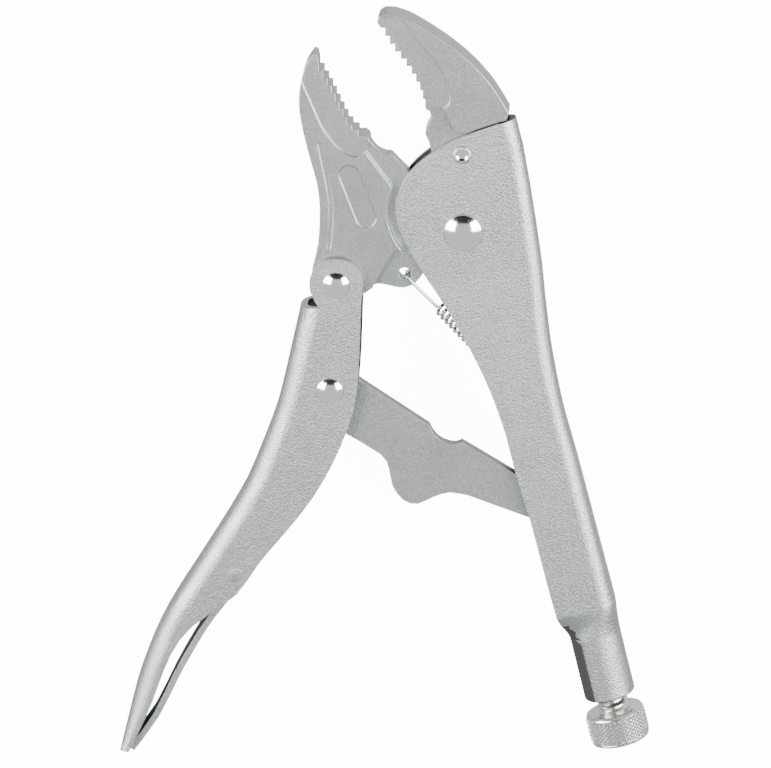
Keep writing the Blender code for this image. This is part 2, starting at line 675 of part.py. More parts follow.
def release_lever(mats, parent):
    """Folded lever in the lower handle: nose, pivot and a wide finger tab in the tail."""
    origin = (*RELEASE_PIVOT, 0)
    half = LEVER_HALF - SHEET - GAP
    tab = smooth([(-96.6, -98.4), (-105.2, -105.4), (-112.4, -112.6), (-120.6, -121.8),
                  (-129.9, -133.2), (-140.4, -142.6)], 2)
    tab = stretch(tab, LEVER_KNEE, LEVER_TIP, LOWER_LENGTH, DRAWN_LOWER)
    back = offset_path(tab, -SHEET * 0.95)
    cheek = [(-104.0, -97.6), (-99.4, -90.6)]
    nose = smooth([(-94.6, -86.6), (-87.0, -80.6), (-81.8, -78.6), (-80.2, -80.6), (-83.6, -84.6),
                   (-90.2, -92.4)], 2)
    start = next(i for i, p in enumerate(back) if p[0] < -106.5)
    outline = tab + list(reversed(back[start:])) + cheek + nose
    lever = plate("release_lever", outline, -half, half, origin, mats["handle"], parent)
    room_half = half - SHEET * 0.9
    room = ([(-86.0, -93.6)] + back + [(-150.0, -130.0), (-120.0, -80.0), (-95.0, -70.0),
                                      (-76.0, -74.0), (-76.0, -88.0)])
    cut(lever, plate("release_room", room, -room_half, room_half, origin, mats["handle"], parent))
    cut(lever, loft("release_space", lever_room(RELEASE_GAP, 20.0), mats["handle"], origin,
                    parent), "INTERSECT")
    hole(lever, RELEASE_PIVOT, RELEASE_PIN_R + GAP, -half - 1, half + 1, mats["handle"], parent)
    return lever


def pins(mats, root, lever_pivot):
    stake_low = -(NARROW_HALF + GAP)
    stake_profile = [(0, stake_low - STAKE_HEAD_H), (STAKE_HEAD_R * 0.7, stake_low - STAKE_HEAD_H),
                     (STAKE_HEAD_R, stake_low), (STAKE_R, stake_low), (STAKE_R, -stake_low),
                     (STAKE_HEAD_R, -stake_low), (STAKE_HEAD_R * 0.7, -stake_low + STAKE_HEAD_H),
                     (0, -stake_low + STAKE_HEAD_H)]
    turned("jaw_stake_pin", stake_profile, (*STAKE, 0), mats["rivet"], root, 20)
    flush = LEVER_HALF - 0.1
    turned("release_lever_pin", [(0, -flush), (RELEASE_PIN_R, -flush), (RELEASE_PIN_R, flush),
                                 (0, flush)], (*RELEASE_PIVOT, 0), mats["rivet"], lever_pivot, 20)
    loop_room = ANCHOR_SEAT_X - ANCHOR_LOOP_X + 2.4
    rim = ANCHOR_R + ANCHOR_FLANGE
    anchor = [(0, 0), (ANCHOR_R, 0), (ANCHOR_R, -loop_room), (rim, -loop_room),
              (rim, -loop_room - 1.0), (0, -loop_room - 1.0)]
    turned("spring_anchor_pin", list(reversed(anchor)), (ANCHOR_SEAT_X, ANCHOR_Y, 0),
           mats["rivet"], root, 16, "X")


def tube_along(name, points, radius, sides, mat, parent):
    """A round wire along points in mm, as a curve with filled caps turned into a mesh."""
    curve = bpy.data.curves.new(name + "_path", "CURVE")
    curve.dimensions = "3D"
    curve.bevel_depth = radius * MM
    curve.bevel_resolution = sides
    curve.use_fill_caps = True
    spline = curve.splines.new("POLY")
    spline.points.add(len(points) - 1)
    for target, p in zip(spline.points, points):
        target.co = (p[0] * MM, p[1] * MM, p[2] * MM, 1.0)
    obj = bpy.data.objects.new(name, curve)
    curve.materials.append(mat)
    bpy.context.scene.collection.objects.link(obj)
    obj.parent = parent
    return obj


def return_spring(mats, parent):
    """Extension spring with a hook through the lug's hole and a loop on the anchor pin."""
    start = Vector((*SPRING_HOLE, 0))
    end = Vector((ANCHOR_LOOP_X, ANCHOR_Y, 0))
    along = (end - start).normalized()
    side = Vector((-along.y, along.x, 0))
    up = Vector((0, 0, 1))
    coil = SPRING_R - WIRE_R
    over = WEB_THICK / 2 + WIRE_R + GAP
    points = [start + along * 3.4 - up * over, start + along * 1.4 - up * over,
              start + along * 0.3 - up * (over - 0.9), start - along * 0.1, start + up * (over - 1.0),
              start + along * 0.6 + up * (over - 0.2), start + along * 1.6 + up * over,
              start + along * 4.4 + up * over, start + along * (COIL_START - 1.2) + up * (coil + 0.3)]
    loop = ANCHOR_R / abs(along.y) + WIRE_R + GAP
    body = (end - start).length - COIL_START - loop - 3.0
    turns = round(body / COIL_PITCH)
    steps = turns * COIL_SIDES
    for i in range(steps + 1):
        angle = 2 * math.pi * i / COIL_SIDES
        points.append(start + along * (COIL_START + body * i / steps)
                      + up * coil * math.cos(angle) + side * coil * math.sin(angle))
    points.append(end - along * (loop + 1.4) + up * 0.9)
    for a in range(180, -121, -30):
        angle = math.radians(a)
        points.append(end + along * loop * math.cos(angle) - up * loop * math.sin(angle))
    return tube_along("return_spring", points, WIRE_R, 1, mats["spring"], parent)


# ---------------------------------------------------------------- screw and knob

def screw(mats, parent):
    """Threaded rod: reduced tip, thread diameter, and a plain seat inside the knob."""
    tip = STRUT_NOSE[1] - STRUT_NOSE_R - NOSE_TRAVEL
    knob_top = -UPPER_LENGTH - EXPOSED_THREAD
    end = knob_top - KNOB_LENGTH + 2.0
    reach = tip - end
    profile = [(0, 0), (SCREW_TIP_R - 0.8, 0), (SCREW_TIP_R, 0.8), (SCREW_TIP_R, SCREW_TIP_LENGTH),
               (SCREW_R, SCREW_TIP_LENGTH + 1.2), (SCREW_R, reach), (0, reach)]
    return turned("adjusting_screw", profile, (SCREW_X, tip, 0), mats["screw"], parent, 28, "Y")


def knob(mats, parent):
    """Round head of the screw with chamfered rims and a blind bore."""
    top = -UPPER_LENGTH - EXPOSED_THREAD
    bore = SCREW_R + GAP
    floor = KNOB_LENGTH - 2.0 + GAP
    chamfer = KNOB_CHAMFER
    profile = [(0, floor), (bore, floor), (bore, 0), (KNOB_R - chamfer, 0), (KNOB_R, chamfer),
               (KNOB_R, KNOB_LENGTH - chamfer), (KNOB_R - chamfer, KNOB_LENGTH), (0, KNOB_LENGTH)]
    return turned("knurled_knob", profile, (SCREW_X, top, 0), mats["screw"], parent, 40, "Y")


# ---------------------------------------------------------------- the whole tool

def build():
    for obj in list(bpy.data.objects):
        bpy.data.objects.remove(obj, do_unlink=True)
    mats = {
        "handle": material("satin_nickel_sheet", (0.62, 0.63, 0.61), 0.38),
        "jaw": material("satin_nickel_forging", (0.60, 0.61, 0.59), 0.33),
        "link": material("satin_nickel_link", (0.58, 0.59, 0.57), 0.36),
        "rivet": material("bright_rivet", (0.70, 0.70, 0.69), 0.12),
        "screw": material("nickel_thread", (0.66, 0.65, 0.62), 0.22),
        "spring": material("spring_steel", (0.62, 0.65, 0.68), 0.20),
    }
    rear_face = NARROW_HALF + GAP + MAIN_HEAD_H
    frame = pivot_empty("tool_frame", (0, 0, rear_face))
    frame["origin_mm"] = [0, 0, 0]
    jaw_pivot = pivot_empty("jaw_pivot", (0, 0, 0), frame)
    lever_pivot = pivot_empty("lever_pivot", (*LEVER_PIVOT, 0), jaw_pivot)
    strut_pivot = pivot_empty("strut_pivot", (*STRUT_PIVOT, 0), lever_pivot)
    release_pivot = pivot_empty("release_pivot", (*RELEASE_PIVOT, 0), lever_pivot)
    screw_axis = pivot_empty("screw_axis", (SCREW_X, 0, 0), frame)

    upper_handle(mats, frame)
    fixed_jaw(mats, frame)
    rivet("main_pivot_rivet", (0, 0), MAIN_SHANK_R, MAIN_HEAD_R, MAIN_HEAD_H,
          NARROW_HALF, -NARROW_HALF, mats["rivet"], frame, flat_rear=True)
    pins(mats, frame, lever_pivot)
    lower_jaw(mats, jaw_pivot)
    rivet("jaw_lever_rivet", LEVER_PIVOT, LINK_SHANK_R, LINK_HEAD_R, LINK_HEAD_H,
          LEVER_HALF, -LEVER_HALF, mats["rivet"], lever_pivot)
    lower_handle(mats, lever_pivot)
    rivet("strut_rivet", STRUT_PIVOT, LINK_SHANK_R, LINK_HEAD_R, LINK_HEAD_H,
          LEVER_HALF, -LEVER_HALF, mats["rivet"], lever_pivot)
    strut_spacers(mats, lever_pivot)
    toggle_strut(mats, strut_pivot)
    release_lever(mats, release_pivot)
    return_spring(mats, frame)
    screw(mats, screw_axis)
    knob(mats, screw_axis)


build()
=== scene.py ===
"""Looks of the locking pliers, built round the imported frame.

Lengths are in metres in the frame's own axes: the main pivot is the Z axis, the adjusting
screw runs along -Y and the jaws point to +Y. MID is the height of the tool's mid plane.
"""

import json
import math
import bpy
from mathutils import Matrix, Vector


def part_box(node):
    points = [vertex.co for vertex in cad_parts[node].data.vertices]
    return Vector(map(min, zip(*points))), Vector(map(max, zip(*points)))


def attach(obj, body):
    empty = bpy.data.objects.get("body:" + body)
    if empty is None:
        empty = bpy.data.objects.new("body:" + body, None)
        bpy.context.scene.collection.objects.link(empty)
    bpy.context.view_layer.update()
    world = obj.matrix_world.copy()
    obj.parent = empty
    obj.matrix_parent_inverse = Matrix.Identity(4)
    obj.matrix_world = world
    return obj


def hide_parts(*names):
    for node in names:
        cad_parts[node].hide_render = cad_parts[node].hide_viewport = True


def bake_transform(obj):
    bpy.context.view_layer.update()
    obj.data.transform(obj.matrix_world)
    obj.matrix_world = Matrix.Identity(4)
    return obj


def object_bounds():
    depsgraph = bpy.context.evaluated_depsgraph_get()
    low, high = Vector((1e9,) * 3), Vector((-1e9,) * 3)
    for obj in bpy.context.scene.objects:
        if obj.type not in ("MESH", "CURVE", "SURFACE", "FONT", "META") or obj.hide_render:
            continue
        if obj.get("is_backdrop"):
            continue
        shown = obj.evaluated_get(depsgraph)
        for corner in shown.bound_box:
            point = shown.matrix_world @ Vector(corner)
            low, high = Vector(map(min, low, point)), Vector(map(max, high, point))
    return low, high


bl_info = {
    "name": "Locking pliers",
    "version": (1, 0, 0),
    "blender": (4, 5, 0),
    "location": "View3D > Sidebar > Pliers",
    "description": "Nickel plated locking pliers with a knurled screw and a coiled spring",
    "category": "Object",
}

import bpy
from bpy.props import FloatProperty, FloatVectorProperty, IntProperty, PointerProperty
from mathutils import Matrix, Vector

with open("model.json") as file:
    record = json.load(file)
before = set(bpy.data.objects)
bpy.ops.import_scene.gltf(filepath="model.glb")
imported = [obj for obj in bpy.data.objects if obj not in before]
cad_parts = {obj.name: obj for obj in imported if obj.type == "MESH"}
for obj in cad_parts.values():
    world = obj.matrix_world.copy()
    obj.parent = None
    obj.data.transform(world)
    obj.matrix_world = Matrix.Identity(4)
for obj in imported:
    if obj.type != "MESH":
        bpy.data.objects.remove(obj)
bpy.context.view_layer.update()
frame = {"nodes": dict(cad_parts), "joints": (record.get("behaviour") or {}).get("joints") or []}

MID = 0.0072
JOINTS = {j["name"]: Vector(j["pos_m"]) for j in frame["joints"] if "pos_m" in j}
SCREW_X = JOINTS["knob_turn"].x

# Where the spring's hook and loop hold, and the point that the camera looks at
SPRING_HOLE = Vector((-0.0209, -0.0095, MID))
SPRING_ANCHOR = Vector((0.0096, -0.064, MID))
MIDDLE = Vector((-0.035306, -0.043669, MID))

# From the middle of the tool to the camera, and the camera's upward direction
CAMERA_BACK = Vector((0.12119, 0.28820, 0.94987))
CAMERA_UP = Vector((0.20816, 0.92827, -0.30821))


# ---------------------------------------------------------------- settings

class PliersShape(bpy.types.PropertyGroup):
    sheet_edge: FloatProperty(
        name="Sheet edge", description="Rounding of the folded handles' cut edges",
        default=0.00045, min=0.0001, max=0.001, unit="LENGTH")
    jaw_edge: FloatProperty(
        name="Jaw edge", description="Rounding of the forged jaws' edges",
        default=0.00024, min=0.0001, max=0.001, unit="LENGTH")
    knurl_count: IntProperty(
        name="Knurl count", description="Diamonds round the knob",
        default=34, min=16, max=60)
    knurl_depth: FloatProperty(
        name="Knurl depth", description="Height of the knob's diamonds",
        default=0.00062, min=0.0001, max=0.001, unit="LENGTH")
    thread_pitch: FloatProperty(
        name="Thread pitch", description="Advance of the screw in one turn",
        default=0.002, min=0.0008, max=0.003, unit="LENGTH")
    wire_radius: FloatProperty(
        name="Wire radius", description="Half the thickness of the spring's wire",
        default=0.00055, min=0.0003, max=0.0009, unit="LENGTH")
    coil_radius: FloatProperty(
        name="Coil radius", description="Middle of the wire to the spring's axis",
        default=0.0017, min=0.001, max=0.003, unit="LENGTH")
    coil_pitch: FloatProperty(
        name="Coil pitch", description="Advance of the spring's wire in one turn",
        default=0.00182, min=0.001, max=0.004, unit="LENGTH")


class PliersFinish(bpy.types.PropertyGroup):
    plate_colour: FloatVectorProperty(
        name="Plate colour", description="Satin nickel plate on handles and jaws",
        default=(0.405, 0.432, 0.428), size=3, min=0.0, max=1.0, subtype="COLOR")
    plate_roughness: FloatProperty(
        name="Plate roughness", description="Blur of the reflections in the satin plate",
        default=0.36, min=0.0, max=1.0, subtype="FACTOR")
    grain_size: FloatProperty(
        name="Grain size", description="Size of the blasted grain",
        default=0.00062, min=0.0001, max=0.002, unit="LENGTH")
    bright_colour: FloatVectorProperty(
        name="Bright colour", description="Polished nickel on the rivets",
        default=(0.93, 0.93, 0.92), size=3, min=0.0, max=1.0, subtype="COLOR")
    wire_colour: FloatVectorProperty(
        name="Wire colour", description="Zinc plated spring wire",
        default=(0.62, 0.66, 0.72), size=3, min=0.0, max=1.0, subtype="COLOR")


class PliersStage(bpy.types.PropertyGroup):
    lens: FloatProperty(
        name="Lens", description="Camera lens length in millimetres",
        default=302.2, min=20.0, max=600.0)
    distance: FloatProperty(
        name="Distance", description="Camera to the middle of the tool",
        default=2.0, min=0.3, max=5.0, unit="LENGTH")
    floor_drop: FloatProperty(
        name="Floor drop", description="Depth of the floor below the tool",
        default=0.030, min=0.0, max=0.3, unit="LENGTH")


# ---------------------------------------------------------------- modelling helpers

def clear_selection():
    if bpy.context.object and bpy.context.object.mode != "OBJECT":
        bpy.ops.object.mode_set(mode="OBJECT")
    bpy.ops.object.select_all(action="DESELECT")


def activate(obj):
    clear_selection()
    obj.select_set(True)
    bpy.context.view_layer.objects.active = obj


def object_mode():
    bpy.ops.object.mode_set(mode="OBJECT")


def edit_mode(kind=None, action=None):
    """Enters edit mode on the active object, with a kind of element and a selection."""
    bpy.ops.object.mode_set(mode="EDIT")
    if kind:
        bpy.ops.mesh.select_mode(type=kind)
    if action:
        bpy.ops.mesh.select_all(action=action)


def select_none(obj):
    """Makes obj active with nothing in its mesh selected, and stays in object mode."""
    activate(obj)
    edit_mode(action="DESELECT")
    object_mode()


def apply_place():
    """Puts the active object's place into its mesh."""
    bpy.ops.object.transform_apply(location=True, rotation=True, scale=True)


def settle(obj, angle):
    """Puts the object's place into its mesh and smooths its shading."""
    activate(obj)
    apply_place()
    bpy.ops.object.shade_smooth_by_angle(angle=math.radians(angle))


def face_outwards(obj):
    """Merges doubled points and turns every face outwards."""
    activate(obj)
    edit_mode(action="SELECT")
    bpy.ops.mesh.remove_doubles(threshold=1e-7)
    bpy.ops.mesh.normals_make_consistent(inside=False)
    object_mode()


def apply_modifier(obj, kind, **values):
    activate(obj)
    mod = obj.modifiers.new(kind.lower(), kind)
    for key, value in values.items():
        setattr(mod, key, value)
    bpy.ops.object.modifier_apply(modifier=mod.name)


def joined(name, parts):
    """Makes one object of several, under a new name."""
    clear_selection()
    for part in parts:
        part.select_set(True)
    bpy.context.view_layer.objects.active = parts[0]
    bpy.ops.object.join()
    parts[0].name = name
    parts[0].data.name = name
    return parts[0]


def close_ends(obj):
    """Fills the open ends of a swept tube."""
    select_none(obj)
    edit_mode("EDGE")
    bpy.ops.mesh.select_non_manifold()
    bpy.ops.mesh.fill_holes(sides=0)
    object_mode()


def softened_copy(node, name, radius, clamp=True):
    """A merged copy of a CAD node with its hard edges rounded."""
    mesh = frame["nodes"][node].data.copy()
    mesh.name = name
    mesh.materials.clear()
    piece = bpy.data.objects.new(name, mesh)
    bpy.context.scene.collection.objects.link(piece)
    activate(piece)
    bpy.ops.mesh.customdata_custom_splitnormals_clear()
    edit_mode(action="SELECT")
    bpy.ops.mesh.remove_doubles(threshold=1e-5)
    bpy.ops.mesh.dissolve_limited(angle_limit=math.radians(0.5))
    bpy.ops.mesh.select_all(action="SELECT")
    bpy.ops.mesh.faces_shade_smooth()
    object_mode()
    apply_modifier(piece, "BEVEL", width=radius, segments=3, limit_method="ANGLE",
                   angle_limit=math.radians(25), use_clamp_overlap=clamp,
                   miter_outer="MITER_ARC")
    bpy.ops.object.shade_smooth_by_angle(angle=math.radians(30))
    apply_modifier(piece, "WEIGHTED_NORMAL", keep_sharp=True, weight=80)
    return piece


def dress(piece, body, slot_name, material, *nodes):
    """Gives the piece its finish, hides the CAD nodes that it stands for and ties it to its body.
    """
    piece.data.materials.clear()
    piece.data.materials.append(material)
    if nodes:
        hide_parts(*nodes)
    if body:
        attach(piece, body)
    return piece


def dome(center, radius, height, up):
    """A shallow dome whose flat base is at center; up is 1 or -1 along Z."""
    ball = (radius ** 2 + height ** 2) / (2 * height)
    clear_selection()
    bpy.ops.mesh.primitive_uv_sphere_add(
        segments=64, ring_count=96, radius=ball,
        location=(center[0], center[1], center[2] - up * (ball - height)))
    cap = bpy.context.object
    activate(cap)
    apply_place()
    edit_mode(action="SELECT")
    bpy.ops.mesh.bisect(plane_co=center, plane_no=(0, 0, up), use_fill=True,
                        clear_inner=True, clear_outer=False)
    object_mode()
    face_outwards(cap)
    return cap


def drum(center, radius, depth, axis="Z", sides=48, bevel=0.0):
    """A cylinder about center, along Z or Y, with rounded rims."""
    clear_selection()
    turn = {"Z": (0, 0, 0), "Y": (math.pi / 2, 0, 0)}[axis]
    bpy.ops.mesh.primitive_cylinder_add(vertices=sides, radius=radius, depth=depth,
                                        location=center, rotation=turn)
    body = bpy.context.object
    activate(body)
    apply_place()
    if bevel:
        apply_modifier(body, "BEVEL", width=bevel, segments=3, limit_method="ANGLE",
                       angle_limit=math.radians(40))
    return body


def middle_of(node):
    """A node's centre, half its width and half its height."""
    low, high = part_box(node)
    centre = Vector([(a + b) / 2 for a, b in zip(low, high)])
    return centre, (high[0] - low[0]) / 2, (high[2] - low[2]) / 2


# ---------------------------------------------------------------- materials

FINISH_NAMES = {
    "sheet": "blasted_nickel_sheet", "forging": "blasted_nickel_forging",
    "link": "nickel_flat_stock", "rivet": "polished_nickel_rivet",
    "thread": "bright_nickel_screw", "wire": "zinc_spring_wire",
    # The inside and strut edge finishes paint shade: dark nickel on the faces inside the folded
    # channels, and on the strut's side walls that face +Y.
    "inside": "painted_shade_channel_inside", "strut_edge_shade": "painted_shade_strut_edge"}


def finish(name):
    return bpy.data.materials[FINISH_NAMES[name]]


def nodes_of(name):
    """A new material with its node tree and its shader."""
    mat = bpy.data.materials.new(name)
    mat.use_nodes = True
    tree = mat.node_tree
    return mat, tree, tree.nodes["Principled BSDF"]


def add_node(tree, kind, **inputs):
    node = tree.nodes.new(kind)
    for key, value in inputs.items():
        node.inputs[key.replace("_", " ")].default_value = value
    return node


def satin_nickel(name, colour, roughness, grain, strength):
    """Blasted and nickel plated steel: fine grain in the surface, soft cloudy tone."""
    _, tree, shader = nodes_of(FINISH_NAMES[name])
    link = tree.links.new
    place = tree.nodes.new("ShaderNodeTexCoord")
    fine = add_node(tree, "ShaderNodeTexNoise", Scale=1.0 / grain, Detail=3.0, Roughness=0.6)
    cloud = add_node(tree, "ShaderNodeTexNoise", Scale=70.0, Detail=4.0, Roughness=0.55)
    link(place.outputs["Object"], fine.inputs["Vector"])
    link(place.outputs["Object"], cloud.inputs["Vector"])
    bump = add_node(tree, "ShaderNodeBump", Strength=strength, Distance=grain * 0.4)
    link(fine.outputs["Fac"], bump.inputs["Height"])
    link(bump.outputs["Normal"], shader.inputs["Normal"])
    tone = tree.nodes.new("ShaderNodeMapRange")
    tone.inputs["To Min"].default_value = roughness - 0.06
    tone.inputs["To Max"].default_value = roughness + 0.06
    link(cloud.outputs["Fac"], tone.inputs["Value"])
    link(tone.outputs["Result"], shader.inputs["Roughness"])
    ramp = tree.nodes.new("ShaderNodeValToRGB")
    ramp.color_ramp.elements[0].position = 0.36
    ramp.color_ramp.elements[1].position = 0.66
    ramp.color_ramp.elements[0].color = (*[c * 0.84 for c in colour], 1.0)
    ramp.color_ramp.elements[1].color = (*[min(c * 1.12, 1.0) for c in colour], 1.0)
    link(fine.outputs["Fac"], ramp.inputs["Fac"])
    link(ramp.outputs["Color"], shader.inputs["Base Color"])
    shader.inputs["Metallic"].default_value = 1.0


def polished_nickel(name, colour, roughness, scratch):
    """Bright plate with faint hairlines."""
    _, tree, shader = nodes_of(FINISH_NAMES[name])
    link = tree.links.new
    place = tree.nodes.new("ShaderNodeTexCoord")
    stretch = tree.nodes.new("ShaderNodeMapping")
    stretch.inputs["Scale"].default_value = (1.0, 6.0, 1.0)
    link(place.outputs["Object"], stretch.inputs["Vector"])
    hair = add_node(tree, "ShaderNodeTexNoise", Scale=900.0, Detail=4.0, Roughness=0.6)
    link(stretch.outputs["Vector"], hair.inputs["Vector"])
    blur = tree.nodes.new("ShaderNodeMapRange")
    blur.inputs["To Min"].default_value = roughness * 0.7
    blur.inputs["To Max"].default_value = roughness * 1.5
    link(hair.outputs["Fac"], blur.inputs["Value"])
    link(blur.outputs["Result"], shader.inputs["Roughness"])
    bump = add_node(tree, "ShaderNodeBump", Strength=scratch, Distance=0.00004)
    link(hair.outputs["Fac"], bump.inputs["Height"])
    link(bump.outputs["Normal"], shader.inputs["Normal"])
    shader.inputs["Base Color"].default_value = (*colour, 1.0)
    shader.inputs["Metallic"].default_value = 1.0


# ---------------------------------------------------------------- pieces

class PLIERS_OT_finishes(bpy.types.Operator):
    """Make the metal finishes, and the two dark ones that paint shade."""
    bl_idname = "pliers.finishes"
    bl_label = "Finishes"

    def execute(self, context):
        look = context.scene.pliers_finish
        plate = tuple(look.plate_colour)
        blur, grain = look.plate_roughness, look.grain_size
        forged = tuple(c * 0.98 for c in plate)
        rolled = tuple(c * 0.97 for c in plate)
        satin_nickel("sheet", plate, blur, grain, 0.9)
        satin_nickel("forging", forged, blur - 0.04, grain * 0.8, 0.6)
        satin_nickel("link", rolled, blur, grain * 0.9, 0.6)
        polished_nickel("rivet", tuple(look.bright_colour), 0.10, 0.15)
        polished_nickel("thread", (0.66, 0.65, 0.62), 0.20, 0.25)
        polished_nickel("wire", tuple(look.wire_colour), 0.18, 0.2)
        # Painted shade: near black nickel for the faces inside the folded channels.
        satin_nickel("inside", (0.09, 0.085, 0.08), 0.5, grain, 0.4)
        # Painted shade: a darker finish for the strut's side walls that face +Y.
        satin_nickel("strut_edge_shade", (0.26, 0.26, 0.25), 0.42, grain, 0.4)
        return {"FINISHED"}


def paint_channel_shade(piece, half_inside, outwards):
    """Paints shade: puts a near black finish on the faces that look into a folded channel, in
    place of the shadow that falls inside it.
    """
    piece.data.materials.append(finish("inside"))
    for poly in piece.data.polygons:
        rise = poly.center.z - MID
        room = half_inside(poly.center.y)
        facing_in = poly.normal.z * rise < 0 and abs(poly.normal.z) > 0.5
        behind = abs(rise) < room + 0.0001 and poly.normal.dot(outwards) < 0.25
        if facing_in or behind:
            poly.material_index = 1


def upper_room(y):
    """Half the inside width of the upper handle, which widens towards the tail."""
    flare_start, flare_length = -0.015, 0.111
    narrow, widening = 0.0028, 0.00305
    share = min(max((flare_start - y) / flare_length, 0.0), 1.0)
    return narrow + widening * share


class PLIERS_OT_handles(bpy.types.Operator):
    """Round the cut edges of the two folded handles and the release lever."""
    bl_idname = "pliers.handles"
    bl_label = "Handles"

    def execute(self, context):
        edge = context.scene.pliers_shape.sheet_edge
        for node, body, room, outwards in (
                ("upper_handle", "handle_frame", upper_room, (1.0, 0.1, 0.0)),
                ("lower_handle", "lower_handle", lambda y: 0.0057, (-0.8, 0.5, 0.0)),
                ("release_lever", "release_lever", lambda y: 0.0034, (0.8, -0.6, 0.0))):
            piece = softened_copy(node, node + "_sheet", edge)
            dress(piece, body, "handle", finish("sheet"), node)
            # Painted shade: the faces inside each folded channel get the near black finish.
            paint_channel_shade(piece, room, Vector(outwards))
        return {"FINISHED"}


class PLIERS_OT_jaws(bpy.types.Operator):
    """Round the edges of the forged jaws."""
    bl_idname = "pliers.jaws"
    bl_label = "Jaws"

    def execute(self, context):
        edge = context.scene.pliers_shape.jaw_edge
        for node, body in (("fixed_jaw", "handle_frame"), ("lower_jaw", "lower_jaw")):
            piece = softened_copy(node, node + "_forging", edge, clamp=False)
            dress(piece, body, "jaw", finish("forging"), node)
        return {"FINISHED"}


class PLIERS_OT_links(bpy.types.Operator):
    """Round the toggle strut and dress its two spacers."""
    bl_idname = "pliers.links"
    bl_label = "Toggle strut"

    def execute(self, context):
        edge = context.scene.pliers_shape.jaw_edge
        strut = softened_copy("toggle_strut", "toggle_strut_plate", edge)
        dress(strut, "toggle_strut", "link", finish("link"), "toggle_strut")
        # Painted shade: the strut's side walls that face +Y get a darker finish, in place of the
        # shade under the handles.
        strut.data.materials.append(finish("strut_edge_shade"))
        for poly in strut.data.polygons:
            if abs(poly.normal.z) < 0.6 and poly.normal.y > 0.1:
                poly.material_index = 1
        for side in ("front", "rear"):
            node = "strut_spacer_" + side
            ring = softened_copy(node, node + "_ring", edge * 0.6)
            dress(ring, "lower_handle", "link", finish("link"), node)
        return {"FINISHED"}


class PLIERS_OT_rivets(bpy.types.Operator):
    """Model the three domed rivets."""
    bl_idname = "pliers.rivets"
    bl_label = "Rivets"

    def execute(self, context):
        for node, body, joint, radius, tall in (
                ("main_pivot_rivet", "handle_frame", "jaw_pivot", 0.0058, 0.0019),
                ("jaw_lever_rivet", "lower_handle", "lever_pivot", 0.0041, 0.0014),
                ("strut_rivet", "lower_handle", "strut_pivot", 0.0041, 0.0014)):
            low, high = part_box(node)
            x, y = JOINTS[joint].xy
            rim, cap, shank = tall * 0.28, radius * 0.985, radius * 0.53
            front, rear = high[2] - tall, low[2] + tall
            parts = [dome((x, y, front + rim), cap, tall - rim, 1),
                     drum((x, y, front + rim / 2), radius, rim, sides=64, bevel=rim * 0.3),
                     drum((x, y, (low[2] + high[2]) / 2), shank, high[2] - low[2] - 1.2 * tall,
                          sides=40)]
            if node == "main_pivot_rivet":
                parts.append(drum((x, y, low[2] + tall / 2), radius, tall, sides=64,
                                  bevel=0.0006))
            else:
                parts.append(dome((x, y, rear - rim), cap, tall - rim, -1))
                parts.append(drum((x, y, rear - rim / 2), radius, rim, sides=64,
                                  bevel=rim * 0.3))
            piece = joined(node + "_domed", parts)
            settle(piece, 35)
            dress(piece, body, "rivet", finish("rivet"), node)
        return {"FINISHED"}


def dished_stake(centre, radius, half):
    """A pin end pressed in to a cone, mirrored to the other side of the tool."""
    top = centre + Vector((0.0, 0.0, half))
    clear_selection()
    bpy.ops.mesh.primitive_circle_add(vertices=64, radius=radius, fill_type="NGON", location=top)
    stake = bpy.context.object
    activate(stake)
    apply_place()
    edit_mode(action="SELECT")
    rings = (1.0, 0.86, 0.72, 0.60, 0.40, 0.07)
    depths = (0.00052, 0.0002, 0.0001, 0.00027, 0.00054, 0.00102)
    for outer, inner in zip(rings, rings[1:]):
        bpy.ops.mesh.extrude_region_move()
        bpy.ops.transform.resize(value=(inner / outer, inner / outer, 1.0), center_override=top)
    object_mode()
    for vert in stake.data.vertices:
        away = (vert.co - centre).xy.length / radius
        ring = min(range(len(rings)), key=lambda i: abs(rings[i] - away))
        vert.co.z -= depths[ring]
    stake.location.z = -centre.z
    apply_place()
    apply_modifier(stake, "MIRROR", use_axis=(False, False, True), use_mirror_merge=False)
    stake.location.z = centre.z
    apply_place()
    edit_mode("EDGE", "DESELECT")
    bpy.ops.mesh.select_non_manifold()
    bpy.ops.mesh.bridge_edge_loops()
    object_mode()
    face_outwards(stake)
    settle(stake, 45)
    stake.name = stake.data.name = "jaw_stake_dished"
    return stake


class PLIERS_OT_pins(bpy.types.Operator):
    """Model the dished stake, the flush pin and the spring's anchor."""
    bl_idname = "pliers.pins"
    bl_label = "Pins"

    def execute(self, context):
        centre, radius, half = middle_of("jaw_stake_pin")
        stake = dished_stake(centre, radius, half)
        dress(stake, "handle_frame", "rivet", finish("rivet"), "jaw_stake_pin")
        stake.data.materials.append(finish("sheet"))
        for poly in stake.data.polygons:
            if (poly.center - centre).xy.length > radius * 0.72:
                poly.material_index = 1
        hole_radius = 0.0025
        centre, _, half = middle_of("release_lever_pin")
        flush = drum(centre, hole_radius - 0.00004, half * 2, sides=64, bevel=0.0001)
        flush.name = flush.data.name = "release_pin_flush"
        settle(flush, 30)
        dress(flush, "lower_handle", "rivet", finish("sheet"), "release_lever_pin")
        anchor = softened_copy("spring_anchor_pin", "spring_anchor_rounded", 0.00025)
        dress(anchor, "handle_frame", "rivet", finish("rivet"), "spring_anchor_pin")
        return {"FINISHED"}


